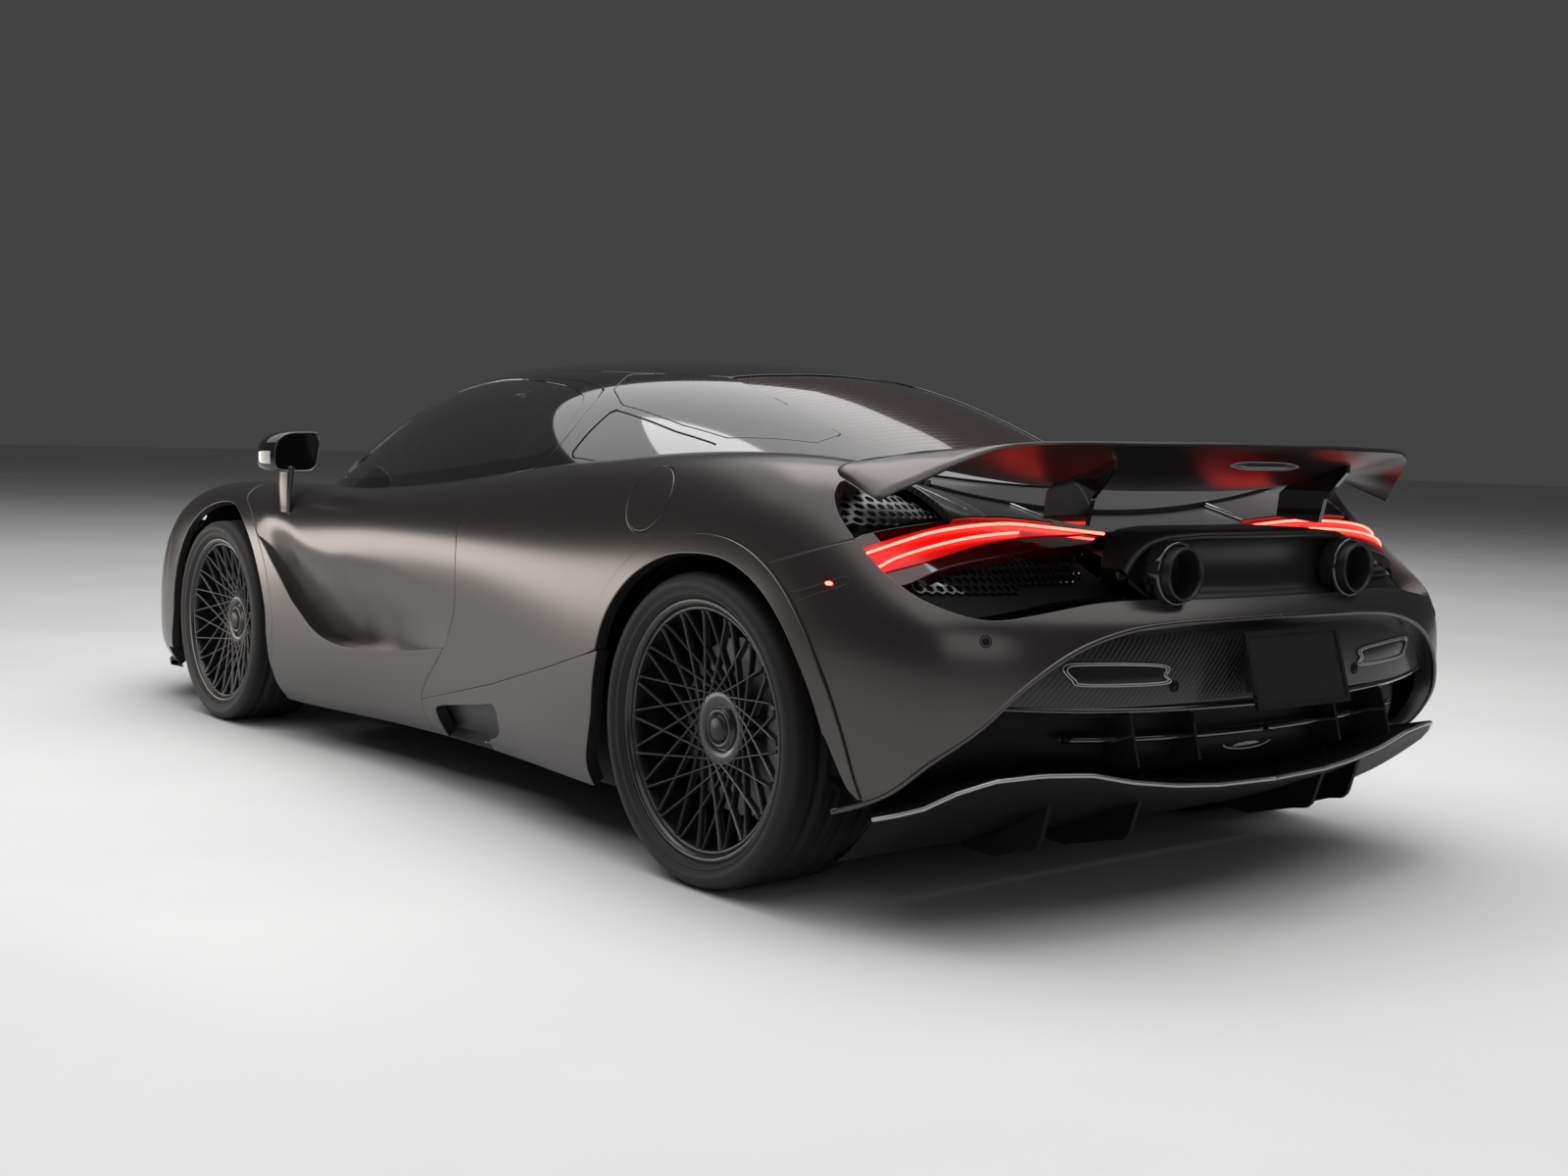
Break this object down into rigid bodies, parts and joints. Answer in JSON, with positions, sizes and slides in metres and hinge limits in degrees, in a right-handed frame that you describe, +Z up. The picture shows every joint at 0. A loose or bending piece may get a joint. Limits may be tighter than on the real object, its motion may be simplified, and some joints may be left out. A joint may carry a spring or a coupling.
{
  "type": "mid-engined two-seat supercar",
  "caption": "Low two-seat mid-engined car with upward-swinging doors, a fixed tail wing, twin high exhaust tips and lattice-spoked wheels, as an assembly of jointed panels and running gear.",
  "frame": {"origin": "middle of the overall length and width, on the ground under the tyres", "axes": "+X to the car's left, +Y towards the tail, +Z up; it faces -Y"},
  "size_m": [2.07, 4.5839, 1.1987],
  "materials": {
    "paint": "satin",
    "carbon": "satin clear-coated weave",
    "gloss_black": "gloss",
    "black_plastic": "fine mesh, matt",
    "lens_dark": "dark lens",
    "glass_tint": "tinted",
    "glass_dark": "dark tinted",
    "lamp_red": "red lens",
    "plate": "blank",
    "alloy": "cast",
    "exhaust": "black coated",
    "leather": "smooth",
    "tyre": "moulded",
    "wheel_black": "satin black",
    "disc_iron": "machined"
  },
  "bodies": {
    "chassis": {"tub": "carbon", "cage": "carbon", "roll_frame": "carbon", "front_bumper": "paint", "fenders": "paint", "head_lamps": "lens_dark", "windscreen": "glass_tint", "roof_panel": "gloss_black", "rear_screen": "glass_dark", "buttress_panels": "glass_dark", "quarter_glasses": "glass_tint", "rear_quarters": "paint", "engine_cover": "carbon", "rear_bumper": "paint", "rear_lower_panel": "carbon", "number_plate": "plate", "front_beam": "alloy", "tail_panel": "black_plastic", "tail_lamps": "lamp_red", "diffuser": "carbon", "wing": "paint", "exhaust_tips": "exhaust", "engine": "alloy", "seats": "leather", "dashboard": "black_plastic", "steering_wheel": "leather", "side_skirts": "paint", "wishbones": "alloy", "rear_knuckles": "alloy"},
    "hood": {"hood": "paint"},
    "door_l": {"door_left": "paint", "door_glass_left": "glass_tint", "mirror_left": "gloss_black"},
    "door_r": {"door_right": "paint", "door_glass_right": "glass_tint", "mirror_right": "gloss_black"},
    "steer_l": {"knuckle_fl": "alloy"},
    "steer_r": {"knuckle_fr": "alloy"},
    "wheel_fl": {"tyre_fl": "tyre", "rim_fl": "wheel_black", "disc_fl": "disc_iron"},
    "wheel_fr": {"tyre_fr": "tyre", "rim_fr": "wheel_black", "disc_fr": "disc_iron"},
    "wheel_rl": {"tyre_rl": "tyre", "rim_rl": "wheel_black", "disc_rl": "disc_iron"},
    "wheel_rr": {"tyre_rr": "tyre", "rim_rr": "wheel_black", "disc_rr": "disc_iron"}
  },
  "joints": [
    {"name": "door_left_swing", "type": "hinge", "parent": "chassis", "child": "door_l", "pos_m": [0.83, -1.1636, 0.74], "axis": [0.3128, -0.8225, -0.475], "range_deg": [0, 75]},
    {"name": "door_right_swing", "type": "hinge", "parent": "chassis", "child": "door_r", "pos_m": [-0.83, -1.1636, 0.74], "axis": [0.3128, 0.8225, 0.475], "range_deg": [0, 75]},
    {"name": "hood_lift", "type": "hinge", "parent": "chassis", "child": "hood", "pos_m": [0, -1.4036, 0.76], "axis": [-1, 0, 0], "range_deg": [0, 55]},
    {"name": "steer_left", "type": "hinge", "parent": "chassis", "child": "steer_l", "pos_m": [0.785, -1.2536, 0.327], "axis": [0, 0, 1], "range_deg": [-30, 30]},
    {"name": "steer_right", "type": "hinge", "parent": "chassis", "child": "steer_r", "pos_m": [-0.785, -1.2536, 0.327], "axis": [0, 0, 1], "range_deg": [-30, 30]},
    {"name": "spin_fl", "type": "hinge", "parent": "steer_l", "child": "wheel_fl", "pos_m": [0.812, -1.2536, 0.327], "axis": [1, 0, 0], "continuous": true},
    {"name": "spin_fr", "type": "hinge", "parent": "steer_r", "child": "wheel_fr", "pos_m": [-0.812, -1.2536, 0.327], "axis": [1, 0, 0], "continuous": true},
    {"name": "spin_rl", "type": "hinge", "parent": "chassis", "child": "wheel_rl", "pos_m": [0.798, 1.4164, 0.344], "axis": [1, 0, 0], "continuous": true},
    {"name": "spin_rr", "type": "hinge", "parent": "chassis", "child": "wheel_rr", "pos_m": [-0.798, 1.4164, 0.344], "axis": [1, 0, 0], "continuous": true}
  ],
  "couplings": [
    {"joint": "steer_right", "follows": "steer_left", "ratio": 1}
  ]
}
